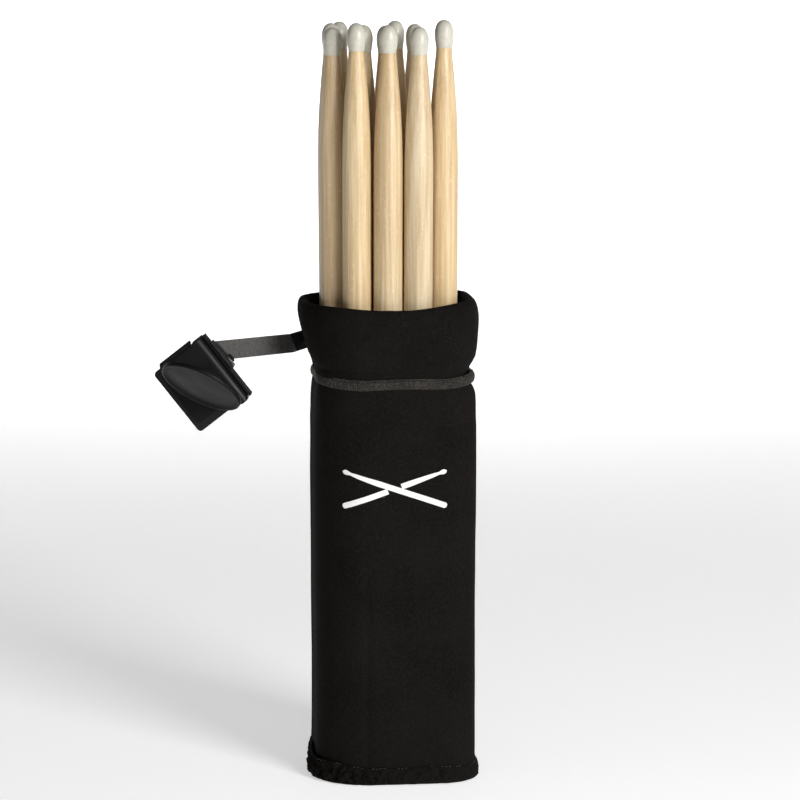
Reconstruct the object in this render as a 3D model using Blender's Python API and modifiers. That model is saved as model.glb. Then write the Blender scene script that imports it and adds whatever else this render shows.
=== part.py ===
"""Clamp-on drum stick bag: a neoprene quiver on a sprung stand clip, filled with drum sticks.

Metres, +Z up. The origin is the middle of the bag's flat bottom. The front of the bag looks
along -Y, and the clip sits at its left, on -X.
"""
import math

import bmesh
import bpy
from mathutils import Matrix, Vector

MM = 0.001
GAP = 0.3 * MM                      # clearance between pieces that touch

# Bag: half widths of its rounded square, at heights above the bottom
BAG_TURN = math.radians(6.0)        # the square stands slightly turned about Z
# Corner radii as shares of the half width: back right, back left, front left, front right
CORNER_SHARES = (0.55, 0.60, 0.68, 0.42)
CORNER_POINTS = 8
SLEEVE_WALL = 2.0 * MM
SLEEVE_PROFILE = ((2.7, 42.6), (100, 42.6), (186, 42.6), (201, 42.4), (209, 41.8), (215, 41.1),
                  (222, 41.0), (237, 41.0), (252, 41.6))
CUFF_WALL = 1.6 * MM
CUFF_PROFILE = ((219.6, 43.5), (225, 44.3), (233, 44.7), (241, 45.3), (247, 45.9), (252, 45.8),
                (255, 44.6), (256, 42.8), (255.2, 40.9))
CUFF_LEAN = -2.6 * MM               # the mouth leans towards the arm
BASE_HEM_PROFILE = ((0, 43.6), (1.4, 44.2), (5.4, 44.2), (6.8, 43.6))
BASE_HEM_WALL = 0.6 * MM
CUFF_HEM_PROFILE = ((214.4, 43.0), (215.6, 43.5), (218.0, 43.5), (219.2, 43.0))
CUFF_HEM_WALL = 1.3 * MM
PANEL_HALF, PANEL_THICK = 42.6 * MM, 2.4 * MM
BOARD_HALF, BOARD_THICK = 40.1 * MM, 1.8 * MM
LINER_HALF, LINER_WALL, LINER_TOP = 40.2 * MM, 1.2 * MM, 193 * MM
PAD_HALF, PAD_THICK = 38.6 * MM, 1.9 * MM
HOOP_HALF, HOOP_WALL = 42.3 * MM, 1.0 * MM
HOOP_LOW, HOOP_HIGH = 225 * MM, 237 * MM

# Drum sticks: (x, y) in mm at the mouth, lean in mm per 100 mm of height, and length in mm
STICK_RADIUS = 7.6 * MM
STICK_FOOT = 7.0 * MM
MOUTH_HEIGHT = 256 * MM
TIP_LENGTH = 14.0 * MM
STICKS = (
    (-29.6, -15.6, -0.7, 0.2, 393.0),
    (-17.8, -28.0, -0.1, 0.0, 395.5),
    (-1.6, -29.4, 0.2, 0.0, 394.5),
    (14.2, -28.2, 0.4, 0.0, 393.5),
    (27.4, -17.4, 0.2, 0.1, 397.0),
    (-30.9, 1.8, -0.7, 0.4, 395.0),
    (-27.0, 18.6, -0.5, 0.6, 395.5),
    (-14.3, 0.9, -0.2, 0.3, 394.0),
    (-2.8, 11.8, -0.1, 0.5, 393.5),
    (2.0, -13.0, 0.1, 0.1, 396.5),
    (12.4, 6.2, 0.1, 0.3, 394.5),
    (27.8, 1.4, 0.3, 0.3, 395.0),
)

# Clip frame: u runs down the hinge, v towards the mouth, n away from the front
CLIP_ANGLE = math.radians(52)
CLIP_ORIGIN = Vector((-90.8, -26.6, 220.4)) * MM
SHEET = 1.2 * MM                    # thickness of the clip's pressed steel
BACK_LEFT, BACK_RIGHT = -19.0 * MM, 19.7 * MM      # side edges of the back jaw, along u
FRONT_LEFT, FRONT_RIGHT = -19.6 * MM, 19.2 * MM    # side edges of the front jaw
MOUTH_REACH = 29.8 * MM             # plate edge at the mouth
FRONT_FACE, BACK_FACE = -5.0 * MM, 10.2 * MM
WALL_FACE = -5.9 * MM               # outside of the end wall
PIN_V, PIN_N, PIN_RADIUS = -0.6 * MM, -1.4 * MM, 1.4 * MM
BARREL_RADIUS = 3.55 * MM
POCKET_RADIUS = 2.9 * MM
EAR_RADIUS = 2.9 * MM
JAW_CORNER = 2.2 * MM               # rounding of the back jaw's mouth corners
FLANGE_START = 3.0 * MM             # where the front jaw's side flanges begin, along v
FRONT_REACH = 23.4 * MM             # long side of the front jaw, along v
STOP_END = 7.0 * MM                 # end of the right flange, which rests on the back jaw
FLANGE_SPLAY = 1.7 * MM
BORE_PLAY = 0.1 * MM
SPRING_HALF = 8.5 * MM
SPRING_TURNS = 5
SPRING_WIRE = 0.35 * MM
GRIP_THICK, GRIP_CORNER = 3.0 * MM, 1.5 * MM
# Corners (u, v) of the rubber pads, in mm
BACK_PAD_CORNERS = ((-16, 7), (16, 7), (16, 27), (-16, 27))
FRONT_PAD_CORNERS = ((-16, 5), (15, 5), (15, 8.6), (-8, 19.4), (-16, 20.5))

# Thumb disc on the front jaw
DISC_CENTRE = (-0.4, 10.2, -24.0)    # u, v, n in mm, at the middle of its face
DISC_RADIUS, DISC_DEPTH, DISC_RIM = 22.3 * MM, 2.9 * MM, 1.5 * MM
DISC_TILT = math.radians(61.4)      # angle between the disc and the jaw plates
DISC_SPIN = math.radians(25.7)      # turn of its facing direction from v towards u
TAB_HEIGHT = 16.0 * MM              # tab behind the disc
TAB_LEFT, TAB_RIGHT = -5.0 * MM, 9.0 * MM

# Arm: a flat strap folded at both ends
STRAP_THICK, STRAP_WIDTH = 1.8 * MM, 10.0 * MM
FOLD_U, FOLD_N = -1.2 * MM, 8.3 * MM                 # lower end of the fold at the clip
FOOT_LEFT, FOOT_RIGHT, FOOT_FRONT = -14.8 * MM, 3.0 * MM, -3.0 * MM
STRAP_SIDE = math.radians(160)      # where the strap lies against the bag, from +X
STRAP_REACH = 53.4 * MM             # distance of that leg from the bag's axis
LEG_FRONT, LEG_BACK = 10.0 * MM, 17.0 * MM
RIVET_PLACES = (-3.0 * MM, -12.0 * MM)
RIVET_RADIUS, RIVET_HEAD = 1.6 * MM, 3.2 * MM
RIVET_INSIDE = -6.9 * MM            # end of a rivet's shank, inside the hoop
SWIVEL_U, SWIVEL_N, SWIVEL_RADIUS = -1.4 * MM, 2.0 * MM, 1.5 * MM
SWIVEL_HEAD, WASHER_RADIUS, WASHER_THICK = 2.4 * MM, 2.8 * MM, 0.5 * MM

NEOPRENE = ("neoprene", (0.018, 0.016, 0.016), 0.92, 0.0)
HEM_YARN = ("hem_yarn", (0.05, 0.045, 0.042), 0.95, 0.0)
BOARD = ("liner_plastic", (0.04, 0.04, 0.045), 0.5, 0.0)
FOAM = ("foam", (0.06, 0.06, 0.06), 0.95, 0.0)
STEEL = ("bare_steel", (0.45, 0.45, 0.46), 0.35, 1.0)
COATED = ("black_coat", (0.02, 0.02, 0.022), 0.4, 0.3)
CRINKLE = ("grey_coat", (0.11, 0.11, 0.115), 0.6, 0.3)
RUBBER = ("rubber", (0.02, 0.02, 0.02), 0.8, 0.0)
MAPLE = ("maple", (0.72, 0.58, 0.38), 0.5, 0.0)
NYLON = ("nylon", (0.86, 0.86, 0.82), 0.3, 0.0)


def clear_scene():
    for item in list(bpy.data.objects):
        bpy.data.objects.remove(item, do_unlink=True)


def new_collection(name):
    group = bpy.data.collections.new(name)
    bpy.context.scene.collection.children.link(group)
    return group


def paint(obj, finish):
    name, colour, roughness, metallic = finish
    material = bpy.data.materials.get(name)
    if material is None:
        material = bpy.data.materials.new(name)
        material.use_nodes = True
        shader = material.node_tree.nodes["Principled BSDF"]
        shader.inputs["Base Color"].default_value = (*colour, 1.0)
        shader.inputs["Roughness"].default_value = roughness
        shader.inputs["Metallic"].default_value = metallic
    obj.data.materials.clear()
    obj.data.materials.append(material)


def add_mesh(name, mesh, finish, smooth=True):
    obj = bpy.data.objects.new(name, mesh)
    BAG.objects.link(obj)
    paint(obj, finish)
    if smooth:
        mesh.shade_smooth()
        mesh.set_sharp_from_angle(angle=math.radians(35))
    return obj


def mesh_from(bm, name):
    bmesh.ops.recalc_face_normals(bm, faces=bm.faces)
    mesh = bpy.data.meshes.new(name)
    bm.to_mesh(mesh)
    bm.free()
    return mesh


def boolean(obj, cutter, operation="DIFFERENCE"):
    step = obj.modifiers.new(operation.lower(), "BOOLEAN")
    step.operation = operation
    step.object = cutter


def cutter_from(name, mesh, frame=None):
    obj = bpy.data.objects.new(name, mesh)
    CUTTERS.objects.link(obj)
    obj.hide_render = True
    obj.display_type = "WIRE"
    if frame is not None:
        obj.matrix_world = frame
    return obj


def rounded_square(half, lean=0.0):
    """Points of the bag's cross section, anticlockwise seen from above."""
    points = []
    for quarter, share in enumerate(CORNER_SHARES):
        radius = half * share
        start = quarter * math.pi / 2
        middle = Vector((math.cos(start + math.pi / 4), math.sin(start + math.pi / 4)))
        centre = middle * (half - radius) * math.sqrt(2)
        for step in range(CORNER_POINTS):
            angle = start + step * math.pi / 2 / (CORNER_POINTS - 1)
            point = centre + radius * Vector((math.cos(angle), math.sin(angle)))
            point = Matrix.Rotation(BAG_TURN, 2) @ point
            points.append(Vector((point.x + lean, point.y)))
    return points


def skin(profile, lean_from=None):
    """Open tube through rounded squares; profile holds (height, half width) in mm."""
    bm = bmesh.new()
    rings = []
    for height, half in profile:
        lean = 0.0
        if lean_from is not None:
            lean = CUFF_LEAN * max(0.0, min(1.0, (height - lean_from) / (MOUTH_HEIGHT / MM - lean_from)))
        outline = rounded_square(half * MM, lean)
        rings.append([bm.verts.new((point.x, point.y, height * MM)) for point in outline])
    for lower, upper in zip(rings, rings[1:]):
        for index in range(len(lower)):
            after = (index + 1) % len(lower)
            bm.faces.new((lower[index], lower[after], upper[after], upper[index]))
    return bm


def shell(name, profile, wall, finish, lean_from=None):
    bm = skin(profile, lean_from)
    mesh = bpy.data.meshes.new(name)
    bm.to_mesh(mesh)
    bm.free()
    obj = add_mesh(name, mesh, finish)
    solid = obj.modifiers.new("wall", "SOLIDIFY")
    solid.thickness = wall
    solid.offset = -1.0
    solid.use_even_offset = True
    return obj


def slab(name, half, low, thick, finish):
    """Solid rounded square plate."""
    curve = bpy.data.curves.new(name + "_outline", "CURVE")
    curve.dimensions = "2D"
    curve.fill_mode = "BOTH"
    curve.extrude = thick / 2
    spline = curve.splines.new("POLY")
    outline = rounded_square(half)
    spline.points.add(len(outline) - 1)
    for point, place in zip(spline.points, outline):
        point.co = (place.x, place.y, 0.0, 1.0)
    spline.use_cyclic_u = True
    return solid_from_curve(name, curve, finish, Matrix.Translation((0, 0, low + thick / 2)))


def solid_from_curve(name, curve, finish, frame):
    """Turn a curve into a welded mesh object and drop the curve."""
    drawn = bpy.data.objects.new(name + "_curve", curve)
    BAG.objects.link(drawn)
    drawn.matrix_world = frame
    bpy.context.view_layer.update()
    evaluated = drawn.evaluated_get(bpy.context.evaluated_depsgraph_get())
    mesh = bpy.data.meshes.new_from_object(evaluated)
    bm = bmesh.new()
    bm.from_mesh(mesh)
    bmesh.ops.remove_doubles(bm, verts=bm.verts, dist=0.00002)
    bmesh.ops.recalc_face_normals(bm, faces=bm.faces)
    bm.to_mesh(mesh)
    bm.free()
    bpy.data.objects.remove(drawn, do_unlink=True)
    obj = add_mesh(name, mesh, finish)
    obj.matrix_world = frame
    return obj


def cylinder_mesh(radius, length, sides=24):
    """Cylinder along Z, centred."""
    bm = bmesh.new()
    bmesh.ops.create_cone(bm, cap_ends=True, segments=sides, radius1=radius, radius2=radius,
                          depth=length)
    return mesh_from(bm, "cylinder")


def box_mesh(size, centre):
    bm = bmesh.new()
    frame = Matrix.Translation(centre) @ Matrix.Diagonal((*size, 1.0))
    bmesh.ops.create_cube(bm, size=1.0, matrix=frame)
    return mesh_from(bm, "box")


def frame_along(direction, origin, hint=Vector((0, 1, 0))):
    """Frame whose Z follows direction."""
    z_axis = direction.normalized()
    x_axis = hint.cross(z_axis).normalized()
    y_axis = z_axis.cross(x_axis)
    turn = Matrix((x_axis, y_axis, z_axis)).transposed().to_4x4()
    return Matrix.Translation(origin) @ turn


def turned(name, profile, finish, frame, sides=16, closed=False):
    """Body turned about Z from (radius, height) points listed top to bottom."""
    bm = bmesh.new()
    spine = [bm.verts.new((radius, 0.0, height)) for radius, height in profile]
    if closed:
        spine.append(spine[0])
    for upper, lower in zip(spine, spine[1:]):
        bm.edges.new((upper, lower))
    mesh = bpy.data.meshes.new(name)
    bm.to_mesh(mesh)
    bm.free()
    obj = add_mesh(name, mesh, finish)
    obj.matrix_world = frame
    screw = obj.modifiers.new("turn", "SCREW")
    screw.axis = "Z"
    screw.steps = sides
    screw.render_steps = sides
    screw.use_merge_vertices = True
    screw.merge_threshold = 0.00002
    screw.use_smooth_shade = True
    return obj


# --- bag -------------------------------------------------------------------------------------

def make_bag():
    shell("outer_sleeve", SLEEVE_PROFILE, SLEEVE_WALL, NEOPRENE)
    cuff = shell("cuff", CUFF_PROFILE, CUFF_WALL, NEOPRENE, lean_from=HOOP_HIGH / MM)
    shell("cuff_hem", CUFF_HEM_PROFILE, CUFF_HEM_WALL, HEM_YARN)
    shell("base_hem", BASE_HEM_PROFILE, BASE_HEM_WALL, HEM_YARN)
    slab("base_panel", PANEL_HALF, 0.0, PANEL_THICK, NEOPRENE)
    board_low = PANEL_THICK + GAP
    slab("base_board", BOARD_HALF, board_low, BOARD_THICK, BOARD)
    pad_low = board_low + BOARD_THICK + GAP
    slab("foam_pad", PAD_HALF, pad_low, PAD_THICK, FOAM)
    liner = ((pad_low / MM, LINER_HALF / MM), (LINER_TOP / MM, LINER_HALF / MM))
    shell("liner_tube", liner, LINER_WALL, BOARD)
    band = ((HOOP_LOW / MM, HOOP_HALF / MM), (HOOP_HIGH / MM, HOOP_HALF / MM))
    hoop = shell("steel_hoop", band, HOOP_WALL, STEEL)
    return cuff, hoop


# --- clip ------------------------------------------------------------------------------------

U = Vector((math.cos(CLIP_ANGLE), 0.0, -math.sin(CLIP_ANGLE)))
V = Vector((-math.sin(CLIP_ANGLE), 0.0, -math.cos(CLIP_ANGLE)))
N = Vector((0.0, 1.0, 0.0))
CLIP = Matrix.Translation(CLIP_ORIGIN) @ Matrix((U, V, N)).transposed().to_4x4()
ALONG_U = Matrix.Rotation(math.pi / 2, 4, "Y")
ALONG_V = Matrix.Rotation(-math.pi / 2, 4, "X")


def clip_point(u, v, n):
    return CLIP @ Vector((u, v, n))


def plate_mesh(outline, low, high):
    """Flat plate in the clip frame from (u, v) corners in metres."""
    bm = bmesh.new()
    face = bm.faces.new([bm.verts.new((u, v, low)) for u, v in outline])
    grown = bmesh.ops.extrude_face_region(bm, geom=[face])
    raised = [item for item in grown["geom"] if isinstance(item, bmesh.types.BMVert)]
    bmesh.ops.translate(bm, verts=raised, vec=(0, 0, high - low))
    return mesh_from(bm, "plate")


def rounded_outline(corners, radius, steps=4):
    """Round the corners whose flag is set; corners holds (u, v, flag)."""
    outline = []
    count = len(corners)
    for index, (u, v, flag) in enumerate(corners):
        here = Vector((u, v))
        if not flag:
            outline.append(here)
            continue
        before = (Vector(corners[index - 1][:2]) - here).normalized()
        after = (Vector(corners[(index + 1) % count][:2]) - here).normalized()
        half_angle = before.angle(after) / 2
        start = here + before * radius / math.tan(half_angle)
        stop = here + after * radius / math.tan(half_angle)
        centre = here + (before + after).normalized() * radius / math.sin(half_angle)
        for step in range(steps + 1):
            way = (start - centre).lerp(stop - centre, step / steps).normalized()
            outline.append(centre + way * radius)
    return outline


def in_clip(mesh, u, v, n, turn=None):
    """Place a mesh's points in the clip frame."""
    mesh.transform(Matrix.Translation((u, v, n)) @ (turn or Matrix.Identity(4)))
    return mesh


def folded_sheet(name, faces, finish, thick, frame):
    """Piece folded from sheet; faces are flat outlines of its middle surface."""
    bm = bmesh.new()
    for outline in faces:
        bm.faces.new([bm.verts.new(point) for point in outline])
    bmesh.ops.remove_doubles(bm, verts=bm.verts, dist=0.00001)
    obj = add_mesh(name, mesh_from(bm, name), finish, smooth=False)
    obj.matrix_world = frame
    solid = obj.modifiers.new("sheet", "SOLIDIFY")
    solid.thickness = thick
    solid.offset = 0.0
    solid.use_even_offset = True
    solid.use_quality_normals = True
    return obj


def join_and_cut(obj, joined=(), cuts=()):
    for number, mesh in enumerate(joined):
        boolean(obj, cutter_from(f"{obj.name}_add_{number}", mesh, CLIP), "UNION")
    for number, mesh in enumerate(cuts):
        boolean(obj, cutter_from(f"{obj.name}_cut_{number}", mesh, CLIP), "DIFFERENCE")


def ear_outline(u, root_n):
    """Ear round the hinge pin, standing on a plate's side edge."""
    outline = [Vector((u, PIN_V - EAR_RADIUS, root_n)), Vector((u, PIN_V + EAR_RADIUS, root_n))]
    for step in range(9):
        angle = -math.pi * step / 8
        outline.append(Vector((u, PIN_V + EAR_RADIUS * math.cos(angle),
                               PIN_N + EAR_RADIUS * math.sin(angle))))
    return outline


def pin_bore():
    return in_clip(cylinder_mesh(PIN_RADIUS + BORE_PLAY, 60 * MM), 0, PIN_V, PIN_N, ALONG_U)


def make_back_jaw():
    """Square plate, end wall and two ears for the pin."""
    left, right = BACK_LEFT, BACK_RIGHT
    plate_n = BACK_FACE - SHEET / 2
    wall_v = WALL_FACE + SHEET / 2
    ears = [ear_outline(left, plate_n), ear_outline(right, plate_n)]
    corners = [(left, wall_v, False), (right, wall_v, False),
               (right, ears[1][0].y, False), (right, ears[1][1].y, False),
               (right, MOUTH_REACH, True), (left, MOUTH_REACH, True),
               (left, ears[0][1].y, False), (left, ears[0][0].y, False)]
    plate = [Vector((u, v, plate_n)) for u, v in rounded_outline(corners, JAW_CORNER)]
    top = FRONT_FACE + 0.8 * MM
    wall = [Vector((left, wall_v, plate_n)), Vector((right, wall_v, plate_n)),
            Vector((right, wall_v, top)), Vector((left, wall_v, top))]
    jaw = folded_sheet("back_jaw", [plate, wall] + ears, COATED, SHEET, CLIP)
    hole = in_clip(cylinder_mesh(SWIVEL_RADIUS + BORE_PLAY, 4 * MM),
                   SWIVEL_U, wall_v, SWIVEL_N, ALONG_V)
    join_and_cut(jaw, cuts=[pin_bore(), hole])


def disc_frame():
    """Frame at the disc's face: Z is the way it faces, X its level axis."""
    facing = math.sin(DISC_TILT) * (math.cos(DISC_SPIN) * V + math.sin(DISC_SPIN) * U)
    facing -= math.cos(DISC_TILT) * N
    level = (math.cos(DISC_SPIN) * U - math.sin(DISC_SPIN) * V).normalized()
    centre = clip_point(*[value * MM for value in DISC_CENTRE])
    up = facing.cross(level)
    return Matrix.Translation(centre) @ Matrix((level, up, facing)).transposed().to_4x4()


def make_front_jaw():
    """Plate with a rolled hinge barrel, two side flanges and the tab behind the thumb disc."""
    plate_n = FRONT_FACE + SHEET / 2
    root_v, wide_v, corner_v = PIN_V, FLANGE_START, FRONT_REACH
    inner_left = BACK_LEFT + SHEET / 2 + GAP
    inner_right = BACK_RIGHT - SHEET / 2 - GAP
    left, right = FRONT_LEFT, FRONT_RIGHT
    disc = CLIP.inverted() @ disc_frame()
    level = disc.to_3x3() @ Vector((1, 0, 0))
    rise = disc.to_3x3() @ Vector((0, 1, 0))
    fold = disc @ Vector((0, 0, -DISC_DEPTH - GAP - SHEET / 2))
    fold += rise * (plate_n - fold.z) / rise.z
    slope = level.y / level.x

    def edge_point(u):
        return Vector((u, fold.y + slope * (u - fold.x), plate_n))

    corner_u = fold.x + (corner_v - fold.y) / slope
    tab_left, tab_right = edge_point(fold.x + TAB_LEFT), edge_point(fold.x + TAB_RIGHT)
    plate = [Vector((u, v, plate_n)) for u, v in (
        (left, wide_v), (inner_left, wide_v), (inner_left, root_v), (inner_right, root_v),
        (inner_right, wide_v), (right, wide_v), (right, STOP_END))]
    plate += [edge_point(right), tab_right, tab_left, Vector((corner_u, corner_v, plate_n)),
              Vector((left, corner_v, plate_n))]
    left_end = BACK_FACE - SHEET - 2.0 * MM
    left_flange = [plate[0], plate[-1], Vector((left - FLANGE_SPLAY, corner_v, left_end)),
                   Vector((left - FLANGE_SPLAY, wide_v, left_end))]
    right_end = BACK_FACE - SHEET - GAP
    right_flange = [plate[5], plate[6], Vector((right, STOP_END, right_end)),
                    Vector((right, wide_v, right_end))]
    tab = [tab_left, tab_right, tab_right + rise * TAB_HEIGHT, tab_left + rise * TAB_HEIGHT]
    jaw = folded_sheet("front_jaw", [plate, left_flange, right_flange, tab], COATED, SHEET, CLIP)
    barrel = in_clip(cylinder_mesh(BARREL_RADIUS, inner_right - inner_left, 32),
                     (inner_left + inner_right) / 2, PIN_V, PIN_N, ALONG_U)
    pocket = in_clip(cylinder_mesh(POCKET_RADIUS, 2 * SPRING_HALF, 32), 0, PIN_V, PIN_N, ALONG_U)
    window = box_mesh((2 * SPRING_HALF, 12 * MM, 6 * MM), (0, PIN_V, PIN_N + 3.9 * MM))
    join_and_cut(jaw, [barrel], [pin_bore(), pocket, window])


def make_thumb_disc():
    rim = DISC_RADIUS
    inner = rim - DISC_RIM
    profile = [(0.0, -1.6 * MM), (inner * 0.6, -1.5 * MM), (inner - 2.0 * MM, -1.1 * MM),
               (inner, 0.0), (rim - 0.4 * MM, 0.0), (rim, -0.5 * MM),
               (rim, -DISC_DEPTH + 0.5 * MM), (rim - 0.5 * MM, -DISC_DEPTH), (0.0, -DISC_DEPTH)]
    return turned("thumb_disc", profile, COATED, disc_frame(), sides=40)


def make_pin():
    """Pin with a head at each end, outside the ears."""
    reach_low = BACK_LEFT - SHEET / 2 - GAP
    reach_high = BACK_RIGHT + SHEET / 2 + GAP
    head = 0.6 * MM
    length = reach_high - reach_low + 2 * head
    middle = (reach_low + reach_high) / 2
    radii = (0.0, 2.0 * MM, 2.0 * MM, PIN_RADIUS, PIN_RADIUS, 2.0 * MM, 2.0 * MM, 0.0)
    top = length / 2
    heights = (top, top, top - head, top - head, head - top, head - top, -top, -top)
    frame = CLIP @ Matrix.Translation((middle, PIN_V, PIN_N)) @ ALONG_U
    return turned("hinge_pin", list(zip(radii, heights)), COATED, frame, sides=24)


def make_spring():
    """Torsion coil round the pin with two short legs."""
    radius = PIN_RADIUS + BORE_PLAY + SPRING_WIRE + 0.25 * MM
    per_turn = 12
    reach = SPRING_HALF - 1.2 * MM
    count = SPRING_TURNS * per_turn
    start = math.radians(90)
    points = []
    for step in range(count + 1):
        angle = start + 2 * math.pi * step / per_turn
        along = -reach + 2 * reach * step / count
        points.append(Vector((along, PIN_V + radius * math.cos(angle),
                              PIN_N + radius * math.sin(angle))))
    leg = 3.2 * MM
    first = points[0] + Vector((0, leg, 0))
    last = points[-1] + Vector((0, -leg * 0.45, 0))
    curve = bpy.data.curves.new("torsion_spring", "CURVE")
    curve.dimensions = "3D"
    curve.bevel_depth = SPRING_WIRE
    curve.bevel_resolution = 1
    curve.use_fill_caps = True
    spline = curve.splines.new("POLY")
    route = [first] + points + [last]
    spline.points.add(len(route) - 1)
    for knot, place in zip(spline.points, route):
        knot.co = (*place, 1.0)
    return solid_from_curve("torsion_spring", curve, STEEL, CLIP)


def make_pads():
    """Rubber pads that line the two jaws."""
    back_low = BACK_FACE - SHEET - GAP - GRIP_THICK
    front_low = FRONT_FACE + SHEET + GAP
    for name, corners, low in (("back_pad", BACK_PAD_CORNERS, back_low),
                               ("front_pad", FRONT_PAD_CORNERS, front_low)):
        outline = rounded_outline([(u * MM, v * MM, True) for u, v in corners], GRIP_CORNER, 3)
        pad = add_mesh(name, plate_mesh(outline, low, low + GRIP_THICK), RUBBER, smooth=False)
        pad.matrix_world = CLIP


# --- arm -------------------------------------------------------------------------------------

SIDE = Vector((math.cos(STRAP_SIDE), math.sin(STRAP_SIDE), 0.0))
FORWARD = Vector((-SIDE.y, SIDE.x, 0.0))


def foot_plane():
    """Middle of the strap's foot, along v."""
    return WALL_FACE - GAP - STRAP_THICK / 2


def fold_low():
    """Lower end of the fold between the foot and the run."""
    return clip_point(FOLD_U, foot_plane(), FOLD_N)


def strap_faces():
    """Outlines of the strap's middle surface: foot, run and leg."""
    low = fold_low()
    bend = SIDE * STRAP_REACH + FORWARD * LEG_FRONT
    back = SIDE * STRAP_REACH - FORWARD * LEG_BACK
    run = Vector((low.x - bend.x, low.y - bend.y, 0.0)).normalized()
    fold = V.cross(Vector((-run.y, run.x, 0.0))).normalized()
    high = low + fold * (STRAP_WIDTH / fold.z)
    high_n = (CLIP.inverted() @ high).z
    foot = [high] + [clip_point(u, foot_plane(), n) for u, n in (
        (FOOT_LEFT, high_n), (FOOT_LEFT, FOOT_FRONT), (FOOT_RIGHT, FOOT_FRONT),
        (FOOT_RIGHT, FOLD_N))] + [low]
    bend_low, back_low = (Vector((spot.x, spot.y, low.z)) for spot in (bend, back))
    rise = Vector((0, 0, STRAP_WIDTH))
    return [foot, (low, high, bend_low + rise, bend_low),
            (bend_low, bend_low + rise, back_low + rise, back_low)]


def make_strap():
    strap = folded_sheet("arm_strap", strap_faces(), CRINKLE, STRAP_THICK, Matrix.Identity(4))
    for number, frame in enumerate(rivet_frames()):
        hole = cylinder_mesh(RIVET_RADIUS + BORE_PLAY, 12 * MM)
        boolean(strap, cutter_from(f"strap_hole_{number}", hole, frame))
    swivel = CLIP @ Matrix.Translation((SWIVEL_U, WALL_FACE, SWIVEL_N)) @ ALONG_V
    hole = cylinder_mesh(SWIVEL_RADIUS + BORE_PLAY, 12 * MM)
    boolean(strap, cutter_from("strap_swivel_hole", hole, swivel))


def rivet_frames():
    """Frames on the strap's leg, Z pointing away from the bag."""
    height = fold_low().z + STRAP_WIDTH / 2
    frames = []
    for place in RIVET_PLACES:
        spot = SIDE * STRAP_REACH + FORWARD * place
        frames.append(frame_along(SIDE, Vector((spot.x, spot.y, height)), Vector((0, 0, 1))))
    return frames


def make_rivets(cuff, hoop):
    """Two rivets hold the strap through the cuff to the hoop."""
    outside = STRAP_THICK / 2 + GAP
    for number, frame in enumerate(rivet_frames(), 1):
        profile = [(0.0, outside + 1.3 * MM), (1.8 * MM, outside + 1.1 * MM),
                   (RIVET_HEAD - 0.3 * MM, outside + 0.5 * MM), (RIVET_HEAD, outside),
                   (RIVET_RADIUS, outside), (RIVET_RADIUS, RIVET_INSIDE), (0.0, RIVET_INSIDE)]
        turned(f"arm_rivet_{number}", profile, STEEL, frame, sides=16)
        for piece in (cuff, hoop):
            hole = cutter_from(f"{piece.name}_hole_{number}",
                               cylinder_mesh(RIVET_RADIUS + BORE_PLAY, 30 * MM), frame)
            boolean(piece, hole)


def make_swivel():
    """Shouldered rivet on which the clip turns, and the spring washer under its head."""
    outer_face = WALL_FACE - GAP - STRAP_THICK
    frame = CLIP @ Matrix.Translation((SWIVEL_U, 0, SWIVEL_N)) @ ALONG_V
    washer_top = outer_face - GAP
    head_top = washer_top - WASHER_THICK - GAP
    inner = WALL_FACE + SHEET + GAP
    closing = 1.9 * MM
    profile = [(0.0, inner + 0.4 * MM), (closing, inner + 0.4 * MM), (closing, inner),
               (SWIVEL_RADIUS, inner), (SWIVEL_RADIUS, head_top), (SWIVEL_HEAD, head_top),
               (SWIVEL_HEAD - 0.2 * MM, head_top - 0.6 * MM), (1.4 * MM, head_top - 1.0 * MM),
               (0.0, head_top - 1.1 * MM)]
    turned("swivel_rivet", profile, COATED, frame, sides=20)
    bore = SWIVEL_RADIUS + BORE_PLAY
    ring = [(bore, washer_top), (WASHER_RADIUS, washer_top),
            (WASHER_RADIUS, washer_top - WASHER_THICK), (bore, washer_top - WASHER_THICK)]
    turned("swivel_washer", ring, STEEL, frame, sides=20, closed=True)


# --- sticks ----------------------------------------------------------------------------------

def shaft_profile(length):
    """(radius, height) from the neck under the tip down to the rounded butt."""
    top = length - TIP_LENGTH - GAP
    drops = ((0, 4.2), (8, 4.9), (16, 5.7), (31, 6.9), (42, 7.4), (54, 7.6))
    profile = [(0.0, top)]
    profile += [(radius * MM, top - drop * MM) for drop, radius in drops]
    profile += [(STICK_RADIUS, 4.0 * MM), (7.1 * MM, 1.6 * MM), (5.6 * MM, 0.3 * MM), (0.0, 0.0)]
    return profile


def tip_profile(length):
    low = length - TIP_LENGTH
    shape = ((0.0, 14.0), (2.2, 13.5), (3.9, 12.0), (4.9, 9.4), (5.0, 6.6), (4.6, 3.0), (4.1, 0.0),
             (0.0, 0.0))
    return [(radius * MM, low + height * MM) for radius, height in shape]


def make_sticks():
    for number, (x, y, lean_x, lean_y, length) in enumerate(STICKS, 1):
        axis = Vector((lean_x / 100, lean_y / 100, 1.0))
        mouth = Vector((x * MM, y * MM, MOUTH_HEIGHT))
        foot = mouth - axis * (MOUTH_HEIGHT - STICK_FOOT)
        frame = frame_along(axis, foot)
        turned(f"stick_{number}_shaft", shaft_profile(length * MM), MAPLE, frame, sides=14)
        turned(f"stick_{number}_tip", tip_profile(length * MM), NYLON, frame, sides=14)


clear_scene()
BAG = new_collection("drum_stick_bag")
CUTTERS = new_collection("cutters")
cuff_piece, hoop_piece = make_bag()
make_back_jaw()
make_front_jaw()
make_thumb_disc()
make_pin()
make_spring()
make_pads()
make_strap()
make_rivets(cuff_piece, hoop_piece)
make_swivel()
make_sticks()
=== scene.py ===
"""Drum stick bag on a stand clip: the detailed model, its materials, floor, light and camera."""
import math

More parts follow.
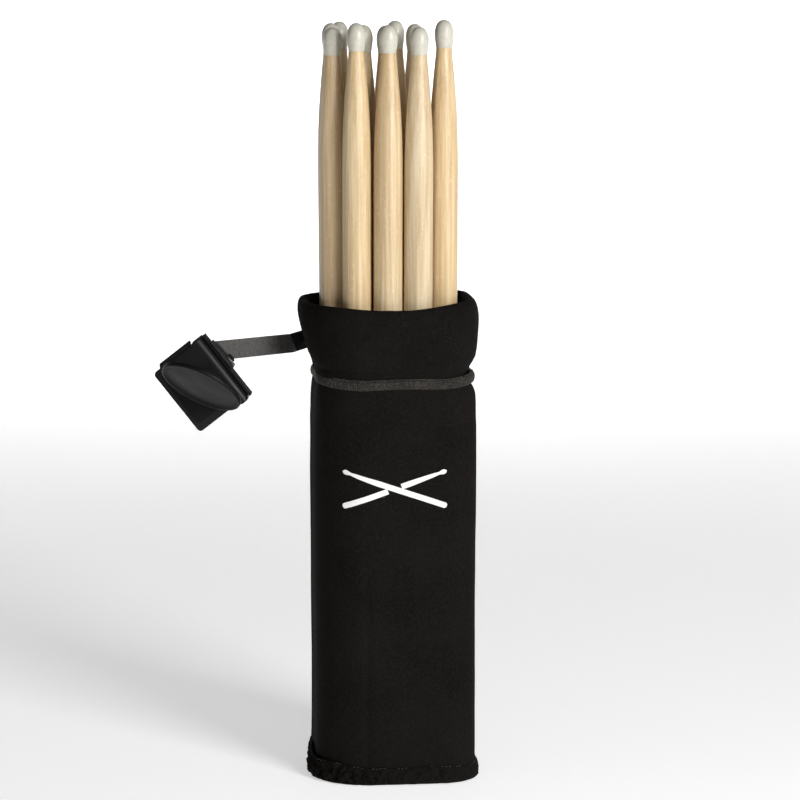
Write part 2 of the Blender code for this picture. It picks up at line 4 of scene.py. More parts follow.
import bmesh
import bpy
import numpy as np
from mathutils import Matrix, Vector, noise
from mathutils.bvhtree import BVHTree


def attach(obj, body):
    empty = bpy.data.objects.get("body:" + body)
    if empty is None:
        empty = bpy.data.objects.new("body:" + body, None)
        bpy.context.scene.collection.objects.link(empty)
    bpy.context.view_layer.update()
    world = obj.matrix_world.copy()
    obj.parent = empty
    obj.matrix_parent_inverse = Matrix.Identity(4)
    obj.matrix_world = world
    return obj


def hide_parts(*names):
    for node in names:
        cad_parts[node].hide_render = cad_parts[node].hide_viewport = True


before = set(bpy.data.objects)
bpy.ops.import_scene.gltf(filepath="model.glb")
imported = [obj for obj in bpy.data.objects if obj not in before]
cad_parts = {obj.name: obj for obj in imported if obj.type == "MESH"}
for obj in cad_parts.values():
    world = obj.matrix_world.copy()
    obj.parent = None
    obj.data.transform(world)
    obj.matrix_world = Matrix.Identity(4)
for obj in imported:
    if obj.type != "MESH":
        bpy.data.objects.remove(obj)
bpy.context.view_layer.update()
MM = 0.001

# --- sizes, in mm unless said otherwise -------------------------------------------------------

BAG_TURN = math.radians(6.0)
CORNER_SHARES = (0.55, 0.60, 0.68, 0.42)      # back right, back left, front left, front right
MOUTH_SHARES = (0.72, 0.80, 0.92, 0.80)       # rounder corners at the rim
AROUND = 420                                  # points round the bag
AROUND_LENGTH = 300.0                         # rough length round the bag
HALF_WIDTH = 42.6                             # of the bag at its foot
NECK_HEIGHT = 219.0                           # where the cuff's hem draws the bag in
CUFF_BEND = 228.0                             # the cuff leans and rounds off above this
CUFF_LEAN = -2.7                              # how far the rim leans along X
MOUTH = 256.0
WALE, COURSE = 0.00085, 0.0007                # the knit's pitch, in metres
STICK_FOOT = 7.0
STICK_RADIUS = 7.6
TIP_LENGTH = 14.6

# x and y at the mouth, lean along x and y in hundredths, length
STICKS = (
    (-29.6, -15.6, -0.7, 0.2, 393.0),
    (-17.8, -28.0, -0.1, 0.0, 395.5),
    (-1.6, -29.4, 0.2, 0.0, 394.5),
    (14.2, -28.2, 0.4, 0.0, 393.5),
    (27.4, -17.4, 0.2, 0.1, 397.0),
    (-30.9, 1.8, -0.7, 0.4, 395.0),
    (-27.0, 18.6, -0.5, 0.6, 395.5),
    (-14.3, 0.9, -0.2, 0.3, 394.0),
    (-2.8, 11.8, -0.1, 0.5, 393.5),
    (2.0, -13.0, 0.1, 0.1, 396.5),
    (12.4, 6.2, 0.1, 0.3, 394.5),
    (27.8, 1.4, 0.3, 0.3, 395.0),
)
CLIP_ANGLE = math.radians(52)
CLIP_ORIGIN = Vector((-90.8, -26.6, 220.4)) * MM
DISC_CENTRE = Vector((-0.4, 10.2, -24.0)) * MM
DISC_RADIUS, DISC_DEPTH = 22.3, 2.9
DISC_TILT, DISC_SPIN = math.radians(61.4), math.radians(25.7)
U = Vector((math.cos(CLIP_ANGLE), 0.0, -math.sin(CLIP_ANGLE)))
V = Vector((-math.sin(CLIP_ANGLE), 0.0, -math.cos(CLIP_ANGLE)))
N = Vector((0.0, 1.0, 0.0))
CLIP = Matrix.Translation(CLIP_ORIGIN) @ Matrix((U, V, N)).transposed().to_4x4()


# --- materials --------------------------------------------------------------------------------

class Shader:
    """Small helper that adds and wires nodes of one material."""

    def __init__(self, name):
        self.material = bpy.data.materials.new(name)
        self.material.use_nodes = True
        self.tree = self.material.node_tree
        self.main = self.tree.nodes["Principled BSDF"]

    def add(self, kind, inputs=None, **settings):
        node = self.tree.nodes.new(kind)
        for key, value in settings.items():
            setattr(node, key, value)
        for key, value in (inputs or {}).items():
            if isinstance(value, bpy.types.NodeSocket):
                self.tree.links.new(value, node.inputs[key])
            else:
                node.inputs[key].default_value = value
        return node

    def math(self, operation, first, second=0.0):
        return self.add("ShaderNodeMath", {0: first, 1: second}, operation=operation).outputs[0]

    def dot(self, first, second):
        node = self.add("ShaderNodeVectorMath", {0: first, 1: second}, operation="DOT_PRODUCT")
        return node.outputs["Value"]

    def noise(self, place, scale, detail=3.0, rough=0.55, distortion=0.0):
        inputs = {"Vector": place, "Scale": scale, "Detail": detail, "Roughness": rough,
                  "Distortion": distortion}
        return self.add("ShaderNodeTexNoise", inputs).outputs["Fac"]

    def ramp(self, value, stops):
        node = self.add("ShaderNodeValToRGB", {"Fac": value})
        elements = node.color_ramp.elements
        while len(elements) < len(stops):
            elements.new(0.5)
        for element, (place, colour) in zip(elements, stops):
            element.position = place
            element.color = (*colour, 1.0) if len(colour) == 3 else colour
        return node.outputs["Color"]

    def grey(self, value, low, high, start=0.0, stop=1.0):
        inputs = {"Value": value, "From Min": start, "From Max": stop, "To Min": low, "To Max": high}
        return self.add("ShaderNodeMapRange", inputs).outputs["Result"]

    def mix(self, factor, first, second, blend="MIX"):
        node = self.add("ShaderNodeMix", {0: factor, 6: first, 7: second}, data_type="RGBA",
                        blend_type=blend)
        return node.outputs[2]

    def bump(self, height, strength, distance, below=None):
        inputs = {"Height": height, "Strength": strength, "Distance": distance}
        if below is not None:
            inputs["Normal"] = below
        return self.add("ShaderNodeBump", inputs).outputs["Normal"]

    def set(self, **values):
        for key, value in values.items():
            socket = self.main.inputs[key.replace("_", " ")]
            if isinstance(value, bpy.types.NodeSocket):
                self.tree.links.new(value, socket)
            else:
                socket.default_value = value

    def object_place(self, stretch=(1.0, 1.0, 1.0)):
        place = self.add("ShaderNodeTexCoord").outputs["Object"]
        return self.add("ShaderNodeMapping", {"Vector": place, "Scale": stretch}).outputs["Vector"]


def knit_height(shader):
    """Height of a fine jersey knit, from UVs in metres."""
    place = shader.add("ShaderNodeUVMap", uv_map="cloth").outputs["UV"]
    parts = shader.add("ShaderNodeSeparateXYZ", {0: place})
    across = shader.math("MULTIPLY", parts.outputs[0], 1.0 / WALE)
    along = shader.math("MULTIPLY", parts.outputs[1], 1.0 / COURSE)
    offset = shader.math("ABSOLUTE", shader.math("SUBTRACT", shader.math("FRACT", across), 0.5))
    loop = shader.math("ADD", along, shader.math("MULTIPLY", offset, 1.1))
    wave = shader.math("SINE", shader.math("MULTIPLY", loop, 2 * math.pi))
    groove = shader.math("COSINE", shader.math("MULTIPLY", across, 2 * math.pi))
    return shader.math("ADD", shader.math("MULTIPLY", wave, 0.5), shader.math("MULTIPLY", groove, -0.5))


def neoprene(name, colour, lift):
    shader = Shader(name)
    place = shader.object_place()
    patches = shader.noise(place, 26.0, 4.0)
    grain = shader.noise(place, 900.0, 2.0)
    lint = shader.noise(place, 620.0, 4.0, 0.7)
    dark = tuple(value * 0.72 for value in colour)
    light = tuple(value * 1.35 for value in colour)
    tone = shader.ramp(patches, ((0.3, dark), (0.7, light)))
    tone = shader.mix(shader.grey(grain, 0.0, 0.55, 0.42, 0.72), tone, (*[v * 2.2 for v in colour], 1))
    tone = shader.mix(shader.grey(lint, 0.0, 0.4, 0.72, 0.82), tone, (0.07, 0.065, 0.06, 1.0))
    knit = knit_height(shader)
    soft = shader.bump(shader.noise(place, 140.0, 4.0), 0.35, 0.0006)
    fine = shader.bump(knit, 0.55, 0.00012, soft)
    shader.set(Base_Color=tone, Roughness=shader.grey(patches, 0.78, 0.92, 0.3, 0.7),
               Normal=fine, Sheen_Weight=lift, Sheen_Roughness=0.45,
               Sheen_Tint=(0.62, 0.58, 0.55, 1.0), Specular_IOR_Level=0.03)
    return shader.material


def yarn(name, dark, light):
    shader = Shader(name)
    place = shader.object_place()
    fibres = shader.noise(place, 1500.0, 3.0)
    tone = shader.ramp(shader.noise(place, 70.0, 3.0), ((0.3, dark), (0.7, light)))
    tone = shader.mix(shader.grey(fibres, 0.0, 0.7, 0.5, 0.75), tone, (0.11, 0.10, 0.09, 1.0))
    shader.set(Base_Color=tone, Roughness=0.86, Normal=shader.bump(fibres, 0.5, 0.0002),
               Sheen_Weight=0.15, Sheen_Roughness=0.4, Sheen_Tint=(0.7, 0.66, 0.6, 1.0),
               Specular_IOR_Level=0.2)
    return shader.material


def wood():
    shader = Shader("maple")
    seed = shader.add("ShaderNodeObjectInfo").outputs["Random"]
    shift = shader.add("ShaderNodeCombineXYZ", {
        0: shader.math("MULTIPLY", seed, 0.37), 1: shader.math("MULTIPLY", seed, 0.91),
        2: shader.math("MULTIPLY", seed, 2.3)}).outputs[0]
    local = shader.add("ShaderNodeTexCoord").outputs["Object"]
    place = shader.add("ShaderNodeVectorMath", {0: local, 1: shift}, operation="ADD").outputs[0]

    def stretched(across, along):
        inputs = {"Vector": place, "Scale": (across, across, along)}
        return shader.add("ShaderNodeMapping", inputs).outputs["Vector"]

    broad = shader.noise(stretched(90.0, 5.0), 1.0, 4.0, 0.6, 0.6)
    grain = shader.noise(stretched(520.0, 14.0), 1.0, 5.0, 0.65, 0.3)
    pores = shader.noise(stretched(1500.0, 26.0), 1.0, 2.0, 0.5)
    rays = shader.noise(stretched(700.0, 420.0), 1.0, 1.0, 0.5)
    tone = shader.ramp(broad, ((0.25, (0.55, 0.41, 0.24)), (0.5, (0.69, 0.56, 0.37)),
                               (0.75, (0.78, 0.69, 0.51))))
    tone = shader.mix(shader.grey(grain, 0.6, 0.0, 0.36, 0.6), tone, (0.45, 0.30, 0.15, 1.0))
    tone = shader.mix(shader.grey(pores, 0.0, 0.4, 0.62, 0.76), tone, (0.24, 0.13, 0.06, 1.0))
    tone = shader.mix(shader.grey(rays, 0.0, 0.3, 0.6, 0.8), tone, (0.86, 0.74, 0.54, 1.0))
    warm = shader.mix(seed, (1.0, 1.0, 1.0, 1.0), (1.0, 0.91, 0.74, 1.0))
    tone = shader.mix(0.8, tone, warm, "MULTIPLY")
    bumps = shader.bump(grain, 0.12, 0.0002, shader.bump(pores, 0.15, 0.0001))
    shader.set(Base_Color=tone, Roughness=shader.grey(grain, 0.36, 0.56, 0.3, 0.7), Normal=bumps,
               Coat_Weight=0.12, Coat_Roughness=0.3, Subsurface_Weight=0.04,
               Subsurface_Radius=(0.002, 0.001, 0.0005))
    return shader.material


def nylon():
    shader = Shader("nylon")
    place = shader.object_place()
    cloud = shader.noise(place, 260.0, 3.0)
    scuffs = shader.noise(place, 1400.0, 4.0, 0.7)
    tone = shader.ramp(cloud, ((0.3, (0.53, 0.51, 0.43)), (0.7, (0.61, 0.59, 0.51))))
    shader.set(Base_Color=tone, Roughness=shader.grey(scuffs, 0.24, 0.4, 0.4, 0.7),
               Normal=shader.bump(scuffs, 0.06, 0.0001), Subsurface_Weight=0.35,
               Subsurface_Radius=(0.004, 0.0036, 0.003), Subsurface_Scale=1.0, IOR=1.5)
    return shader.material


def edge_mask(shader, radius):
    """1 on outside edges, 0 on flat faces."""
    rounded = shader.add("ShaderNodeBevel", {"Radius": radius}, samples=4).outputs[0]
    flat = shader.add("ShaderNodeNewGeometry").outputs["Normal"]
    return shader.grey(shader.dot(rounded, flat), 1.0, 0.0, 0.90, 0.985)


def black_coat(name, smooth, rough, shine):
    """Painted steel, duller on the clip's thin outer flanks and towards its free end."""
    shader = Shader(name)
    place = shader.object_place()
    side, end = CLIP_ORIGIN.dot(U), CLIP_ORIGIN.dot(V)
    left_flank = shader.grey(shader.dot(place, U), 1.0, 0.0, side - 0.0200, side - 0.0196)
    end_flank = shader.grey(shader.dot(place, V), 1.0, 0.0, end - 0.0050, end - 0.0046)
    flank = shader.math("MAXIMUM", left_flank, end_flank)
    peel = shader.noise(place, 1100.0, 2.0)
    smudge = shader.noise(place, 60.0, 4.0, 0.6)
    chips = shader.grey(shader.noise(place, 700.0, 4.0, 0.7), 0.0, 1.0, 0.55, 0.7)
    wear = shader.math("MULTIPLY", edge_mask(shader, 0.0004), chips)
    tone = shader.ramp(smudge, ((0.3, (0.0035, 0.0034, 0.0034)), (0.75, (0.008, 0.0077, 0.0075))))
    tone = shader.mix(shader.math("MULTIPLY", wear, 0.5), tone, (0.08, 0.077, 0.073, 1.0))
    sideways = shader.add("ShaderNodeSeparateXYZ", {0: place}).outputs[0]
    worn = shader.grey(sideways, 0.16, 0.0, -0.116, -0.086)
    dull = shader.math("ADD", shader.math("MULTIPLY", flank, 0.4), worn)
    gloss = shader.math("ADD", shader.grey(smudge, smooth, rough, 0.3, 0.7), dull)
    shader.set(Base_Color=tone, Roughness=gloss,
               Normal=shader.bump(peel, 0.12, 0.0003), Specular_IOR_Level=shine, IOR=1.3)
    return shader.material


def crinkle_coat():
    """Crinkled grey coat of the arm, with painted shade: near black at its end by the clip and where it
    turns in.
    """
    shader = Shader("grey_coat")
    place = shader.object_place()
    cells = shader.add("ShaderNodeTexVoronoi", {"Vector": place, "Scale": 1300.0}).outputs["Distance"]
    lumps = shader.noise(place, 900.0, 4.0, 0.65)
    height = shader.math("ADD", cells, lumps)
    tone = shader.ramp(lumps, ((0.35, (0.048, 0.046, 0.044)), (0.7, (0.110, 0.106, 0.100))))
    low = CLIP_ORIGIN.dot(V)
    # painted shade: the arm's end at the clip is coloured near black in place of the shade it sits in
    foot_painted_shade = shader.grey(shader.dot(place, V), 0.0, 0.93, low - 0.0087, low - 0.0081)
    # painted shade: where the arm turns in towards the bag it is coloured near black and made rough in
    # place of the bag's shade
    turn_in_painted_shade = shader.grey(shader.dot(place, (1.0, 0.0, 0.31)), 0.0, 0.95, 0.0184, 0.0192)
    tone = shader.mix(foot_painted_shade, tone, (0.004, 0.004, 0.004, 1.0))
    tone = shader.mix(turn_in_painted_shade, tone, (0.002, 0.002, 0.002, 1.0))
    rough = shader.math("MAXIMUM", shader.grey(lumps, 0.38, 0.6, 0.35, 0.7), turn_in_painted_shade)
    shader.set(Base_Color=tone, Roughness=rough,
               Normal=shader.bump(height, 0.5, 0.0004), Specular_IOR_Level=0.45)
    return shader.material


def steel():
    shader = Shader("bare_steel")
    place = shader.object_place()
    brushed = shader.noise(place, 1600.0, 3.0)
    tone = shader.ramp(shader.noise(place, 300.0, 3.0),
                       ((0.3, (0.34, 0.34, 0.35)), (0.7, (0.56, 0.56, 0.57))))
    shader.set(Base_Color=tone, Metallic=1.0, Roughness=shader.grey(brushed, 0.22, 0.42, 0.3, 0.7),
               Normal=shader.bump(brushed, 0.08, 0.0001))
    return shader.material


def rubber():
    shader = Shader("rubber")
    place = shader.object_place()
    speckle = shader.noise(place, 1700.0, 3.0)
    tone = shader.ramp(speckle, ((0.3, (0.004, 0.004, 0.004)), (0.75, (0.010, 0.0098, 0.0095))))
    shader.set(Base_Color=tone, Roughness=shader.grey(speckle, 0.62, 0.85, 0.3, 0.7),
               Normal=shader.bump(speckle, 0.25, 0.0002), Specular_IOR_Level=0.15)
    return shader.material


def liner_sheet(name, colour, rough):
    shader = Shader(name)
    place = shader.object_place()
    marks = shader.noise(place, 240.0, 5.0, 0.6)
    light = tuple(value * 1.6 for value in colour)
    shader.set(Base_Color=shader.ramp(marks, ((0.35, colour), (0.7, light))),
               Roughness=shader.grey(marks, rough, rough + 0.15, 0.3, 0.7),
               Normal=shader.bump(shader.noise(place, 1200.0, 2.0), 0.15, 0.0002))
    return shader.material


def ink():
    shader = Shader("print_ink")
    place = shader.object_place()
    pits = shader.noise(place, 1500.0, 3.0, 0.6)
    tone = shader.mix(shader.grey(pits, 0.0, 0.75, 0.66, 0.8), (0.88, 0.87, 0.85, 1.0),
                      (0.12, 0.11, 0.11, 1.0))
    knit = knit_height(shader)
    shader.set(Base_Color=tone, Roughness=0.62, Normal=shader.bump(knit, 0.35, 0.0001))
    return shader.material


def floor_paint():
    """Pale floor whose sweep fades to dark above the height of the product."""
    shader = Shader("floor")
    place = shader.object_place()
    cloud = shader.noise(place, 1.4, 3.0)
    tone = shader.ramp(cloud, ((0.3, (0.84, 0.84, 0.84)), (0.7, (0.88, 0.88, 0.88))))
    height = shader.add("ShaderNodeSeparateXYZ", {0: place}).outputs[2]
    fade = shader.grey(height, 0.0, 1.0, 0.42, 0.62)
    tone = shader.mix(fade, tone, (0.12, 0.12, 0.12, 1.0))
    shader.set(Base_Color=tone, Roughness=0.7, Emission_Color=tone,
               Emission_Strength=shader.grey(height, 0.6, 0.0, 0.42, 0.62),
               Normal=shader.bump(shader.noise(place, 300.0), 0.02, 0.0005))
    return shader.material


CLOTH = neoprene("neoprene", (0.0072, 0.0063, 0.0056), 0.01)
YARN = yarn("hem_yarn", (0.0095, 0.0085, 0.0074), (0.021, 0.0185, 0.016))
THREAD = yarn("hem_thread", (0.030, 0.027, 0.024), (0.065, 0.060, 0.053))
MAPLE = wood()
NYLON = nylon()
COAT = black_coat("black_coat", 0.34, 0.48, 0.6)
DISC_COAT = black_coat("disc_coat", 0.40, 0.54, 0.34)
CRINKLE = crinkle_coat()
STEEL = steel()
RUBBER = rubber()
LINER = liner_sheet("liner_plastic", (0.03, 0.03, 0.033), 0.45)
FOAM = liner_sheet("foam", (0.045, 0.045, 0.045), 0.82)
INK = ink()


# --- mesh helpers -----------------------------------------------------------------------------

def finish_piece(obj, material, body, replaced=()):
    obj.data.materials.clear()
    obj.data.materials.append(material)
    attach(obj, body)
    if replaced:
        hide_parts(*replaced)
    return obj


def object_from(name, mesh, place=None):
    obj = bpy.data.objects.new(name, mesh)
    bpy.context.scene.collection.objects.link(obj)
    if place is not None:
        obj.matrix_world = place
    return obj


def grid(name, rings, wrap_rows=False, wrap_ring=True):
    """Smooth quad mesh through equal rings of points, with UVs in metres."""
    points = np.array([[tuple(point) for point in ring] for ring in rings])
    rows, count = points.shape[:2]
    row_total = rows if wrap_rows else rows - 1
    col_total = count if wrap_ring else count - 1
    row = np.repeat(np.arange(row_total), col_total)
    col = np.tile(np.arange(col_total), row_total)
    next_row, next_col = (row + 1) % rows, (col + 1) % count
    faces = np.stack([row * count + col, row * count + next_col,
                      next_row * count + next_col, next_row * count + col], axis=1)
    mesh = bpy.data.meshes.new(name)
    mesh.from_pydata(points.reshape(-1, 3).tolist(), [], faces.tolist())
    middle = points[rows // 2]
    step = np.linalg.norm(np.roll(middle, -1, axis=0) - middle, axis=1)
    across = np.concatenate([[0.0], np.cumsum(step)])
    rise = np.linalg.norm(np.roll(points[:, 0], -1, axis=0) - points[:, 0], axis=1)
    along = np.concatenate([[0.0], np.cumsum(rise)])
    uv = np.stack([np.stack([across[col], along[row]], 1), np.stack([across[col + 1], along[row]], 1),
                   np.stack([across[col + 1], along[row + 1]], 1),
                   np.stack([across[col], along[row + 1]], 1)], axis=1)
    layer = mesh.uv_layers.new(name="cloth")
    layer.data.foreach_set("uv", uv.reshape(-1).astype(np.float32))
    mesh.shade_smooth()
    return mesh


def smooth_profile(knots, spacing):
    """Points along a Catmull-Rom curve through knots, about spacing apart."""
    knots = [Vector(knot) for knot in knots]
    result = []
    for index in range(len(knots) - 1):
        before = knots[max(index - 1, 0)]
        first, second = knots[index], knots[index + 1]
        after = knots[min(index + 2, len(knots) - 1)]
        steps = max(1, round((second - first).length / spacing))
        for step in range(steps):
            t = step / steps
            point = 0.5 * (2 * first + (second - before) * t
                           + (2 * before - 5 * first + 4 * second - after) * t * t
                           + (3 * first - before - 3 * second + after) * t ** 3)
            result.append(tuple(point))
    result.append(tuple(knots[-1]))
    return result


def lathe(name, profile, sides):
    """Body turned about Z from (radius, height) points in mm, first and last on the axis."""
    rings = []
    for radius, height in profile:
        ring = []
        for side in range(sides):
            angle = 2 * math.pi * side / sides
            ring.append((radius * math.cos(angle) * MM, radius * math.sin(angle) * MM, height * MM))
        rings.append(ring)
    mesh = grid(name, rings)
    bm = bmesh.new()
    bm.from_mesh(mesh)
    bmesh.ops.remove_doubles(bm, verts=bm.verts, dist=0.000001)
    bmesh.ops.recalc_face_normals(bm, faces=bm.faces)
    bm.to_mesh(mesh)
    bm.free()
    mesh.shade_smooth()
    return mesh


def unit_outline(count, shares):
    """(point, normal) pairs at equal steps round a bag of half width 1, from +X anticlockwise."""
    dense = []
    for quarter, share in enumerate(shares):
        start = quarter * math.pi / 2
        middle = Vector((math.cos(start + math.pi / 4), math.sin(start + math.pi / 4)))
        centre = middle * (1 - share) * math.sqrt(2)
        for step in range(41):
            angle = start + step * math.pi / 80
            way = Vector((math.cos(angle), math.sin(angle)))
            dense.append((centre + share * way, angle))
    dense.append((dense[0][0], 2 * math.pi))
    lengths = [0.0]
    for (here, _), (there, _) in zip(dense, dense[1:]):
        lengths.append(lengths[-1] + (there - here).length)
    turn = Matrix.Rotation(BAG_TURN, 2)
    result, index = [], 0
    for step in range(count):
        target = lengths[-1] * step / count
        while lengths[index + 1] < target:
            index += 1
        part = (target - lengths[index]) / max(lengths[index + 1] - lengths[index], 1e-9)
        point = dense[index][0].lerp(dense[index + 1][0], part)
        angle = dense[index][1] + (dense[index + 1][1] - dense[index][1]) * part
        result.append((turn @ point, turn @ Vector((math.cos(angle), math.sin(angle)))))
    return result


OUTLINE = unit_outline(AROUND, CORNER_SHARES)
MOUTH_OUTLINE = unit_outline(AROUND, MOUTH_SHARES)
AROUND_MM = AROUND_LENGTH / AROUND  # rough spacing of the outline's points


def bag_ring(half, height, push, lean=0.0, round_share=0.0):
    """One ring of the bag in metres; push(x, y, z, arc, normal) gives mm outward and mm up."""
    ring = []
    for index in range(AROUND):
        point = OUTLINE[index][0].lerp(MOUTH_OUTLINE[index][0], round_share)
        normal = OUTLINE[index][1].lerp(MOUTH_OUTLINE[index][1], round_share)
        x, y = point.x * half + lean, point.y * half
        out, up = push(x, y, height, index * AROUND_MM, normal)
        ring.append(((x + normal.x * out) * MM, (y + normal.y * out) * MM, (height + up) * MM))
    return ring


def bell(value, middle, width):
    return math.exp(-((value - middle) / width) ** 2)


def swell(arc, scale, height, rise, seed):
    """Noise that closes on itself round the bag."""
    angle = arc / AROUND_LENGTH * 2 * math.pi
    reach = scale * AROUND_LENGTH / (2 * math.pi)
    return noise.noise(Vector((math.cos(angle) * reach, math.sin(angle) * reach, height * rise + seed)))


# --- bag --------------------------------------------------------------------------------------

def left_share(normal):
    """1 at the bag's left and front left, 0 at its right."""
    return max(0.0, min(1.0, 0.5 - 0.9 * normal.x))


def neck_pull(z, normal):
    """The hem draws the bag in on its right, in mm."""
    return max(0.0, normal.x) * bell(z, NECK_HEIGHT, 14.0 if z > NECK_HEIGHT else 10.0)


def no_push(*_):
    return 0.0, 0.0


def inner_sleeve(_x, _y, z, _arc, normal):
    return -2.9 * neck_pull(z, normal), 0.0


def inner_cuff(_x, _y, z, _arc, normal):
    return -3.1 * neck_pull(z, normal), 0.0


def sleeve_push(x, _y, z, arc, normal):
    left = left_share(normal)
    out = 0.40 * swell(arc, 0.022, z, 0.010, 1.0) + 0.16 * swell(arc, 0.07, z, 0.045, 5.0)
    low = math.exp(-max(z - 5.0, 0.0) / 7.0)
    out += low * (0.55 + 0.5 * left) * swell(arc, 0.17, z, 0.05, 9.0)
    out += low * 0.35 * left * swell(arc, 0.42, z, 0.35, 13.0)
    out -= 3.0 * neck_pull(z, normal) * (1.0 if z > 216.0 else max(0.0, (z - 208.0) / 8.0))
    neck = bell(z, 212.0, 8.0)
    out += neck * (0.35 + 0.4 * left) * swell(arc, 0.10, z, 0.03, 17.0)
    wobble = 1.6 * swell(arc, 0.02, 0.0, 0.0, 21.0)
    facing = max(0.0, -normal.y) ** 3
    out -= 0.42 * facing * bell(z, 193.5 + wobble, 1.8)
    out += 0.26 * facing * bell(z, 190.0 + wobble, 3.0)
    pinch = bell(x, -31.0, 7.0) * (1.0 if normal.y < 0 else 0.0)
    out -= 0.7 * facing * pinch * bell(z, 192.5 - 0.16 * (x + 31.0), 1.3)
    if normal.y < 0:
        fade = max(0.0, min(1.0, (150.0 - z) / 60.0))
        out -= 0.6 * fade * bell(x, -12.5 + 0.8 * swell(arc, 0.0, z, 0.02, 3.0), 2.2)
        out += 0.3 * fade * bell(x, -18.5, 5.0)
    return out, 0.0


def cuff_push(x, _y, z, arc, normal):
    left = left_share(normal)
    out = 0.45 * swell(arc, 0.025, z, 0.02, 31.0) + 0.14 * swell(arc, 0.09, z, 0.06, 35.0)
    low = bell(z, NECK_HEIGHT, 6.0)
    out += low * (0.3 + 0.6 * left) * swell(arc, 0.09, z, 0.03, 39.0)
    fold = bell(z, 221.5 - 0.12 * (x + 32.0), 1.3) * bell(x, -33.0, 15.0)
    if normal.y < 0:
        out -= 1.3 * fold
    groove = bell(arc, GROOVE_ARC, 1.5) * max(0.0, min(1.0, (253.0 - z) / 6.0))
    out -= 1.6 * groove
    out -= 3.4 * neck_pull(z, normal)
    high = max(0.0, (z - 225.0) / 31.0)
    up = 0.7 * swell(arc, 0.02, 0.0, 0.0, 43.0) * high
    up += high * (1.6 * max(0.0, normal.x) - 1.9 * max(0.0, -normal.y) * bell(x, 2.0, 30.0))
    return out, up


def arc_at(angle_degrees):
    """Place round the bag, in mm, where its outline passes a direction from the axis."""
    way = Vector((math.cos(math.radians(angle_degrees)), math.sin(math.radians(angle_degrees))))
    best = max(range(AROUND), key=lambda index: OUTLINE[index][0].normalized().dot(way))
    return best * AROUND_MM


GROOVE_ARC = arc_at(196.0)


def make_sleeve():
    outer = ((1.6, 42.1), (6.0, 42.5), (20, 42.5), (60, 42.45), (110, 42.6), (150, 42.7), (180, 42.7),
             (190, 42.7), (196, 42.45), (204, 42.3), (210, 41.8), (214, 41.0), (218, 40.3),
             (222, 40.2), (236, 40.3), (246, 40.7), (250, 41.2))
    inner = ((250, 39.8), (236, 38.7), (218, 38.7), (206, 40.3), (190, 40.7), (1.6, 40.5))
    rings = []
    for z, half in smooth_profile(outer, 1.15):
        rings.append(bag_ring(half, z, sleeve_push))
    for z, half in smooth_profile(inner, 6.0):
        rings.append(bag_ring(half, z, inner_sleeve))
    sleeve = object_from("sleeve", grid("sleeve", rings, wrap_rows=True))
    return finish_piece(sleeve, CLOTH, "bag", ["outer_sleeve"])


def cuff_ring(half, z, push):
    """One ring of the cuff, leaning and rounding off towards the mouth."""
    part = max(0.0, min(1.0, (z - CUFF_BEND) / (MOUTH - CUFF_BEND)))
    return bag_ring(half, z, push, CUFF_LEAN * part, part)


def make_cuff():
    outer = ((41.2, 216.6), (41.0, 217.6), (41.2, 219.5), (42.3, 222.5), (43.7, 226), (45.2, 231),
             (46.6, 237), (47.5, 243), (47.8, 247.5), (47.5, 251.2), (46.6, 254.2), (45.2, 255.8),
             (43.6, 255.8), (42.1, 254.5), (41.1, 251.8), (40.5, 247), (39.7, 240), (38.9, 230))
    inner = ((39.5, 230), (40.5, 240), (41.6, 248), (42.7, 251.6), (43.9, 252.2), (44.9, 250),
             (45.0, 244), (44.6, 236), (43.4, 230), (42.2, 226), (40.8, 221), (40.6, 217.5))
    rings = []
    for half, z in smooth_profile(outer, 0.8):
        rings.append(cuff_ring(half, z, cuff_push))
    for half, z in smooth_profile(inner, 3.0):
        rings.append(cuff_ring(half, z, inner_cuff))
    cuff = object_from("turned_cuff", grid("turned_cuff", rings, wrap_rows=True))
    return finish_piece(cuff, CLOTH, "bag", ["cuff"])


def hem_centre(arc, normal, kind):
    """Half width, height, half thickness and half height of a hem's roll, in mm."""
    left = left_share(normal)
    if kind == "cuff":
        half = 41.2 - 0.9 * max(0.0, normal.x) - 0.6 * left + 0.2 * swell(arc, 0.05, 0.0, 0.0, 51.0)
        height = 215.6 + 0.6 * swell(arc, 0.03, 0.0, 0.0, 53.0) + 0.2 * left
        height += 1.4 * max(0.0, normal.x) - 1.2 * max(0.0, -normal.y)
        thick = 1.6 + 0.2 * swell(arc, 0.08, 0.0, 0.0, 55.0)
        return half, height, thick, 2.6 + 0.25 * swell(arc, 0.06, 0.0, 0.0, 57.0)
    half = HALF_WIDTH + 0.3 * swell(arc, 0.05, 0.0, 0.0, 61.0)
    tall = 4.4 + 1.2 * left * left + 0.5 * swell(arc, 0.10, 0.0, 0.0, 67.0)
    return half, tall + 0.1, 1.9 + 0.2 * swell(arc, 0.08, 0.0, 0.0, 63.0), tall


